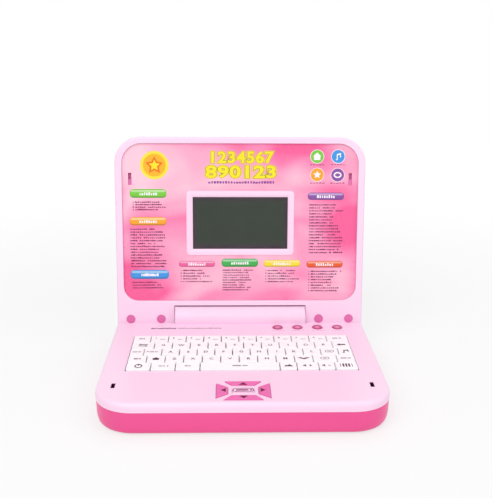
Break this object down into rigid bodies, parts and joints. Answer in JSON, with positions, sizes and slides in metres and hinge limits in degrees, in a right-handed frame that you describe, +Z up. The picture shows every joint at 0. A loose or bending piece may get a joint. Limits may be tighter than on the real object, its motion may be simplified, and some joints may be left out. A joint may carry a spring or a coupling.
{
  "type": "toy laptop computer",
  "caption": "Child's pink learning laptop: hinged lid with a small screen in a printed panel, and a base with white keys, a direction pad and round buttons.",
  "frame": {"origin": "under the middle of the open laptop's bounding box, on the plane the rubber feet stand on", "axes": "+Z up, -Y towards the user at the front edge, +X to the user's right, along the hinge"},
  "size_m": [0.25, 0.2156, 0.2152],
  "materials": {
    "case_pink_dark": "glossy",
    "case_pink_pale": "glossy",
    "button_pink": "glossy",
    "key_white": "satin",
    "label_print": "satin print",
    "screen_clear": "clear",
    "screen_grey": "glossy",
    "inner_plastic": "matt",
    "silicone": "matt",
    "board_green": "satin",
    "foot_rubber": "matt",
    "screw_steel": "brushed",
    "contact_steel": "bright",
    "cell_jacket": "glossy",
    "speaker_black": "matt",
    "socket_black": "matt",
    "wire_red": "satin"
  },
  "bodies": {
    "base": {"base_bottom_case": "case_pink_dark", "base_top_deck": "case_pink_pale", "battery_cells": "cell_jacket", "battery_contacts": "contact_steel", "speaker": "speaker_black", "main_board": "board_green", "key_board": "board_green", "key_mat": "silicone", "key_guide_plate": "inner_plastic", "rubber_feet": "foot_rubber", "case_screws": "screw_steel", "mouse_socket": "socket_black", "hinge_pins": "screw_steel", "hinge_wires": "wire_red"},
    "lid": {"lid_front_frame": "case_pink_pale", "lid_back_cover": "case_pink_pale", "label_panel": "label_print", "screen_bezel": "case_pink_pale", "screen_window": "screen_clear", "screen_module": "screen_grey", "screen_board": "board_green", "lid_screws": "screw_steel", "hinge_plugs": "button_pink", "latch_catches": "case_pink_pale", "lid_wires": "wire_red"},
    "battery_door": {"battery_door": "case_pink_dark", "battery_door_screw": "screw_steel"},
    "button_1": {"button_1": "button_pink"},
    "button_2": {"button_2": "button_pink"},
    "button_3": {"button_3": "button_pink"},
    "button_4": {"button_4": "button_pink"},
    "pad_up": {"pad_up": "button_pink"},
    "pad_down": {"pad_down": "button_pink"},
    "pad_left": {"pad_left": "button_pink"},
    "pad_right": {"pad_right": "button_pink"},
    "pad_enter": {"pad_enter": "case_pink_pale"},
    "key_escape": {"key_escape": "key_white"},
    "keys_digits": {"keys_digits": "key_white"},
    "key_backspace": {"key_backspace": "key_white"},
    "key_tab": {"key_tab": "key_white"},
    "keys_letters_upper": {"keys_letters_upper": "key_white"},
    "key_bracket": {"key_bracket": "key_white"},
    "key_mode": {"key_mode": "key_white"},
    "key_capitals": {"key_capitals": "key_white"},
    "keys_letters_middle": {"keys_letters_middle": "key_white"},
    "key_repeat": {"key_repeat": "key_white"},
    "key_music": {"key_music": "key_white"},
    "keys_games": {"keys_games": "key_white"},
    "keys_letters_lower": {"keys_letters_lower": "key_white"},
    "key_shift": {"key_shift": "key_white"},
    "key_return": {"key_return": "key_white"},
    "key_power": {"key_power": "key_white"},
    "key_help": {"key_help": "key_white"},
    "key_answer": {"key_answer": "key_white"},
    "key_space": {"key_space": "key_white"},
    "key_level": {"key_level": "key_white"},
    "key_louder": {"key_louder": "key_white"},
    "key_softer": {"key_softer": "key_white"},
    "key_piano": {"key_piano": "key_white"}
  },
  "joints": [
    {"name": "lid_hinge", "type": "hinge", "parent": "base", "child": "lid", "pos_m": [0, 0.07423, 0.034], "axis": [1, 0, 0], "range_deg": [-10, 97.6]},
    {"name": "battery_door_drop", "type": "slide", "parent": "base", "child": "battery_door", "axis": [0, 0, -1], "range_m": [0, 0.015]},
    {"name": "button_1_press", "type": "slide", "parent": "base", "child": "button_1", "axis": [0, 0, -1], "range_m": [0, 0.001], "stiffness_N_per_m": 400, "springref_m": -0.0005},
    {"name": "button_2_press", "type": "slide", "parent": "base", "child": "button_2", "axis": [0, 0, -1], "range_m": [0, 0.001], "stiffness_N_per_m": 400, "springref_m": -0.0005},
    {"name": "button_3_press", "type": "slide", "parent": "base", "child": "button_3", "axis": [0, 0, -1], "range_m": [0, 0.001], "stiffness_N_per_m": 400, "springref_m": -0.0005},
    {"name": "button_4_press", "type": "slide", "parent": "base", "child": "button_4", "axis": [0, 0, -1], "range_m": [0, 0.001], "stiffness_N_per_m": 400, "springref_m": -0.0005},
    {"name": "pad_up_press", "type": "slide", "parent": "base", "child": "pad_up", "axis": [0, 0, -1], "range_m": [0, 0.001], "stiffness_N_per_m": 400, "springref_m": -0.0005},
    {"name": "pad_down_press", "type": "slide", "parent": "base", "child": "pad_down", "axis": [0, 0, -1], "range_m": [0, 0.001], "stiffness_N_per_m": 400, "springref_m": -0.0005},
    {"name": "pad_left_press", "type": "slide", "parent": "base", "child": "pad_left", "axis": [0, 0, -1], "range_m": [0, 0.001], "stiffness_N_per_m": 400, "springref_m": -0.0005},
    {"name": "pad_right_press", "type": "slide", "parent": "base", "child": "pad_right", "axis": [0, 0, -1], "range_m": [0, 0.001], "stiffness_N_per_m": 400, "springref_m": -0.0005},
    {"name": "pad_enter_press", "type": "slide", "parent": "base", "child": "pad_enter", "axis": [0, 0, -1], "range_m": [0, 0.001], "stiffness_N_per_m": 400, "springref_m": -0.0005},
    {"name": "key_escape_press", "type": "slide", "parent": "base", "child": "key_escape", "axis": [0, 0, -1], "range_m": [0, 0.0012], "stiffness_N_per_m": 400, "springref_m": -0.0005},
    {"name": "keys_digits_press", "type": "slide", "parent": "base", "child": "keys_digits", "axis": [0, 0, -1], "range_m": [0, 0.0012], "stiffness_N_per_m": 4000, "springref_m": -0.0005},
    {"name": "key_backspace_press", "type": "slide", "parent": "base", "child": "key_backspace", "axis": [0, 0, -1], "range_m": [0, 0.0012], "stiffness_N_per_m": 400, "springref_m": -0.0005},
    {"name": "key_tab_press", "type": "slide", "parent": "base", "child": "key_tab", "axis": [0, 0, -1], "range_m": [0, 0.0012], "stiffness_N_per_m": 400, "springref_m": -0.0005},
    {"name": "keys_letters_upper_press", "type": "slide", "parent": "base", "child": "keys_letters_upper", "axis": [0, 0, -1], "range_m": [0, 0.0012], "stiffness_N_per_m": 4000, "springref_m": -0.0005},
    {"name": "key_bracket_press", "type": "slide", "parent": "base", "child": "key_bracket", "axis": [0, 0, -1], "range_m": [0, 0.0012], "stiffness_N_per_m": 400, "springref_m": -0.0005},
    {"name": "key_mode_press", "type": "slide", "parent": "base", "child": "key_mode", "axis": [0, 0, -1], "range_m": [0, 0.0012], "stiffness_N_per_m": 400, "springref_m": -0.0005},
    {"name": "key_capitals_press", "type": "slide", "parent": "base", "child": "key_capitals", "axis": [0, 0, -1], "range_m": [0, 0.0012], "stiffness_N_per_m": 400, "springref_m": -0.0005},
    {"name": "keys_letters_middle_press", "type": "slide", "parent": "base", "child": "keys_letters_middle", "axis": [0, 0, -1], "range_m": [0, 0.0012], "stiffness_N_per_m": 3600, "springref_m": -0.0005},
    {"name": "key_repeat_press", "type": "slide", "parent": "base", "child": "key_repeat", "axis": [0, 0, -1], "range_m": [0, 0.0012], "stiffness_N_per_m": 400, "springref_m": -0.0005},
    {"name": "key_music_press", "type": "slide", "parent": "base", "child": "key_music", "axis": [0, 0, -1], "range_m": [0, 0.0012], "stiffness_N_per_m": 400, "springref_m": -0.0005},
    {"name": "keys_games_press", "type": "slide", "parent": "base", "child": "keys_games", "axis": [0, 0, -1], "range_m": [0, 0.0012], "stiffness_N_per_m": 800, "springref_m": -0.0005},
    {"name": "keys_letters_lower_press", "type": "slide", "parent": "base", "child": "keys_letters_lower", "axis": [0, 0, -1], "range_m": [0, 0.0012], "stiffness_N_per_m": 3200, "springref_m": -0.0005},
    {"name": "key_shift_press", "type": "slide", "parent": "base", "child": "key_shift", "axis": [0, 0, -1], "range_m": [0, 0.0012], "stiffness_N_per_m": 400, "springref_m": -0.0005},
    {"name": "key_return_press", "type": "slide", "parent": "base", "child": "key_return", "axis": [0, 0, -1], "range_m": [0, 0.0012], "stiffness_N_per_m": 400, "springref_m": -0.0005},
    {"name": "key_power_press", "type": "slide", "parent": "base", "child": "key_power", "axis": [0, 0, -1], "range_m": [0, 0.0012], "stiffness_N_per_m": 400, "springref_m": -0.0005},
    {"name": "key_help_press", "type": "slide", "parent": "base", "child": "key_help", "axis": [0, 0, -1], "range_m": [0, 0.0012], "stiffness_N_per_m": 400, "springref_m": -0.0005},
    {"name": "key_answer_press", "type": "slide", "parent": "base", "child": "key_answer", "axis": [0, 0, -1], "range_m": [0, 0.0012], "stiffness_N_per_m": 400, "springref_m": -0.0005},
    {"name": "key_space_press", "type": "slide", "parent": "base", "child": "key_space", "axis": [0, 0, -1], "range_m": [0, 0.0012], "stiffness_N_per_m": 400, "springref_m": -0.0005},
    {"name": "key_level_press", "type": "slide", "parent": "base", "child": "key_level", "axis": [0, 0, -1], "range_m": [0, 0.0012], "stiffness_N_per_m": 400, "springref_m": -0.0005},
    {"name": "key_louder_press", "type": "slide", "parent": "base", "child": "key_louder", "axis": [0, 0, -1], "range_m": [0, 0.0012], "stiffness_N_per_m": 400, "springref_m": -0.0005},
    {"name": "key_softer_press", "type": "slide", "parent": "base", "child": "key_softer", "axis": [0, 0, -1], "range_m": [0, 0.0012], "stiffness_N_per_m": 400, "springref_m": -0.0005},
    {"name": "key_piano_press", "type": "slide", "parent": "base", "child": "key_piano", "axis": [0, 0, -1], "range_m": [0, 0.0012], "stiffness_N_per_m": 400, "springref_m": -0.0005}
  ]
}
